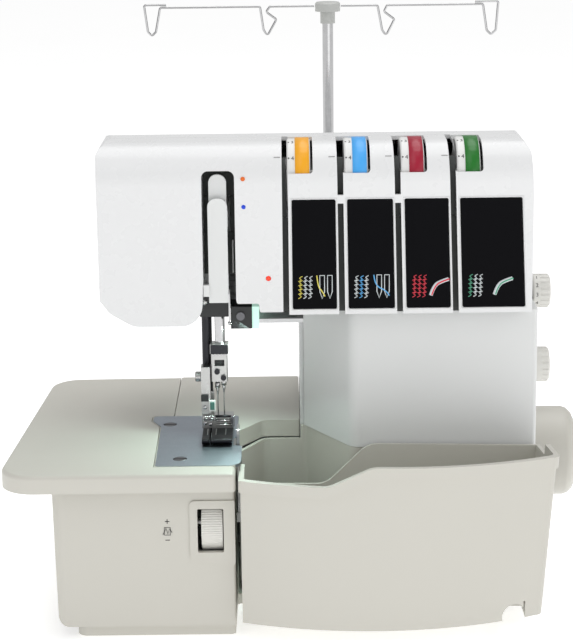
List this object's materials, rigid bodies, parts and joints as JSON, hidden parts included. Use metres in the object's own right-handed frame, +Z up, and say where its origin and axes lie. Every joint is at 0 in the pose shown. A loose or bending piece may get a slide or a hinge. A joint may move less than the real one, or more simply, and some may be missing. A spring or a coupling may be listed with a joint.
{
  "type": "serger overlock machine",
  "caption": "Free-standing overlock sewing machine with an overhanging head, thread tension dials, table, waste tray, handwheel and telescopic thread stand.",
  "frame": {"origin": "centre of the bounding box's footprint, on the plane of the feet", "axes": "+X towards the handwheel, +Y towards the back, +Z up"},
  "size_m": [0.3668, 0.2904, 0.3637],
  "materials": {
    "white_plastic": "satin gloss",
    "light_grey_plastic": "fine texture",
    "warm_grey_plastic": "fine texture",
    "rubber": "matte",
    "plate_steel": "brushed",
    "bright_steel": "polished",
    "machined_steel": "machined",
    "black_steel": "blackened",
    "cast_frame": "as cast",
    "card_black": "gloss",
    "dark_plastic": "matte",
    "lamp_clear": "frosted",
    "belt_rubber": "matte",
    "dial_amber": "gloss",
    "dial_blue": "gloss",
    "dial_red": "gloss",
    "dial_green": "gloss",
    "cap_grey": "satin"
  },
  "bodies": {
    "machine": {"base_pan": "warm_grey_plastic", "rubber_feet": "rubber", "left_bed_cover": "warm_grey_plastic", "bed_casing": "warm_grey_plastic", "needle_plate": "plate_steel", "screws": "machined_steel", "column_front_cover": "light_grey_plastic", "face_cover": "white_plastic", "tension_cover": "white_plastic", "head_end_panel": "white_plastic", "guide_cards": "card_black", "rear_cover": "white_plastic", "lamp_bracket": "dark_plastic", "lamp_lens": "lamp_clear", "take_up_guard": "light_grey_plastic", "pivot_pins": "machined_steel", "tension_spindles": "machined_steel", "tension_discs": "bright_steel", "power_inlet": "dark_plastic", "drive_belt": "belt_rubber", "motor": "black_steel", "shaft_bearings": "machined_steel", "main_frame": "cast_frame", "lower_knife": "machined_steel", "spool_stand": "warm_grey_plastic", "spool_pins": "bright_steel", "cone_holders": "warm_grey_plastic", "pole_tube": "bright_steel"},
    "handwheel": {"handwheel": "warm_grey_plastic", "main_shaft": "machined_steel"},
    "motor_pulley": {"motor_pulley": "machined_steel"},
    "needle_bar": {"needle_bar": "bright_steel", "needle_clamp": "machined_steel", "needles": "bright_steel", "needle_screws": "black_steel"},
    "presser": {"presser_bar": "black_steel", "presser_foot_holder": "machined_steel", "presser_foot": "black_steel", "foot_thumb_screw": "machined_steel"},
    "presser_lever": {"presser_lever": "dark_plastic"},
    "upper_knife": {"upper_knife": "machined_steel"},
    "upper_looper": {"upper_looper": "bright_steel"},
    "lower_looper": {"lower_looper": "bright_steel"},
    "feed_dogs": {"feed_dogs": "machined_steel"},
    "take_up_lever": {"take_up_lever": "light_grey_plastic"},
    "tension_dial_1": {"tension_dial_1": "dial_amber"},
    "tension_dial_2": {"tension_dial_2": "dial_blue"},
    "tension_dial_3": {"tension_dial_3": "dial_red"},
    "tension_dial_4": {"tension_dial_4": "dial_green"},
    "stitch_length_dial": {"stitch_length_dial": "warm_grey_plastic"},
    "differential_dial": {"differential_dial": "warm_grey_plastic"},
    "stitch_width_dial": {"stitch_width_dial": "warm_grey_plastic"},
    "power_switch": {"power_switch": "dark_plastic"},
    "looper_cover": {"looper_cover": "warm_grey_plastic"},
    "waste_tray": {"waste_tray": "warm_grey_plastic"},
    "extension_table": {"extension_table": "warm_grey_plastic"},
    "pole_rod": {"pole_rod": "bright_steel"},
    "thread_guide": {"guide_cap": "cap_grey", "thread_guide_wires": "bright_steel"}
  },
  "joints": [
    {"name": "handwheel_turn", "type": "hinge", "parent": "machine", "child": "handwheel", "pos_m": [0.165, 0.015, 0.0746], "axis": [1, 0, 0], "continuous": true},
    {"name": "motor_turn", "type": "hinge", "parent": "machine", "child": "motor_pulley", "pos_m": [0.13, 0.054, 0.05], "axis": [1, 0, 0], "continuous": true},
    {"name": "needle_bar_stroke", "type": "slide", "parent": "machine", "child": "needle_bar", "axis": [0, 0, 1], "range_m": [-0.003, 0.022]},
    {"name": "presser_lift", "type": "slide", "parent": "machine", "child": "presser", "axis": [0, 0, 1], "range_m": [0, 0.006]},
    {"name": "presser_lever_lift", "type": "hinge", "parent": "machine", "child": "presser_lever", "pos_m": [-0.085, 0.067, 0.206], "axis": [0, 1, 0], "range_deg": [0, 35]},
    {"name": "upper_knife_stroke", "type": "slide", "parent": "machine", "child": "upper_knife", "axis": [0, 0, 1], "range_m": [-0.0035, 0.002]},
    {"name": "upper_looper_swing", "type": "hinge", "parent": "machine", "child": "upper_looper", "pos_m": [-0.05, -0.029, 0.05], "axis": [0, 1, 0], "range_deg": [-2.5, 2.5]},
    {"name": "lower_looper_swing", "type": "hinge", "parent": "machine", "child": "lower_looper", "pos_m": [-0.062, -0.029, 0.06], "axis": [0, 1, 0], "range_deg": [-2.5, 2.5]},
    {"name": "feed_dogs_stroke", "type": "slide", "parent": "machine", "child": "feed_dogs", "axis": [0, 1, 0], "range_m": [-0.002, 0.0015]},
    {"name": "take_up_swing", "type": "hinge", "parent": "machine", "child": "take_up_lever", "pos_m": [-0.047, -0.018, 0.251], "axis": [1, 0, 0], "range_deg": [-2, 3]},
    {"name": "tension_dial_1_turn", "type": "hinge", "parent": "machine", "child": "tension_dial_1", "pos_m": [-0.0028, -0.061, 0.275], "axis": [1, 0, 0], "range_deg": [-130, 130]},
    {"name": "tension_dial_2_turn", "type": "hinge", "parent": "machine", "child": "tension_dial_2", "pos_m": [0.0313, -0.061, 0.275], "axis": [1, 0, 0], "range_deg": [-130, 130]},
    {"name": "tension_dial_3_turn", "type": "hinge", "parent": "machine", "child": "tension_dial_3", "pos_m": [0.0649, -0.061, 0.275], "axis": [1, 0, 0], "range_deg": [-130, 130]},
    {"name": "tension_dial_4_turn", "type": "hinge", "parent": "machine", "child": "tension_dial_4", "pos_m": [0.0982, -0.061, 0.275], "axis": [1, 0, 0], "range_deg": [-130, 130]},
    {"name": "stitch_length_turn", "type": "hinge", "parent": "machine", "child": "stitch_length_dial", "pos_m": [0.148, -0.036, 0.1953], "axis": [1, 0, 0], "range_deg": [-130, 130]},
    {"name": "differential_turn", "type": "hinge", "parent": "machine", "child": "differential_dial", "pos_m": [0.148, -0.05, 0.1516], "axis": [1, 0, 0], "range_deg": [-60, 60]},
    {"name": "stitch_width_turn", "type": "hinge", "parent": "machine", "child": "stitch_width_dial", "pos_m": [-0.057, -0.1022, 0.0691], "axis": [1, 0, 0], "range_deg": [-120, 120]},
    {"name": "power_rocker", "type": "hinge", "parent": "machine", "child": "power_switch", "pos_m": [0.137, 0.066, 0.107], "axis": [0, 1, 0], "range_deg": [-6, 6]},
    {"name": "looper_cover_slide", "type": "slide", "parent": "machine", "child": "looper_cover", "axis": [1, 0, 0], "range_m": [0, 0.012]},
    {"name": "waste_tray_pull", "type": "slide", "parent": "looper_cover", "child": "waste_tray", "axis": [0, -1, 0], "range_m": [0, 0.08]},
    {"name": "extension_table_pull", "type": "slide", "parent": "machine", "child": "extension_table", "axis": [-1, 0, 0], "range_m": [0, 0.15]},
    {"name": "pole_telescope", "type": "slide", "parent": "machine", "child": "pole_rod", "axis": [0, 0, 1], "range_m": [-0.042, 0.05]},
    {"name": "thread_guide_swivel", "type": "hinge", "parent": "pole_rod", "child": "thread_guide", "pos_m": [0.0194, 0.11, 0.355], "axis": [0, 0, 1], "range_deg": [-90, 90]}
  ],
  "couplings": [
    {"joint": "motor_turn", "follows": "handwheel_turn", "ratio": 3.1429},
    {"joint": "presser_lift", "follows": "presser_lever_lift", "m_per_rad": 0.009822}
  ]
}
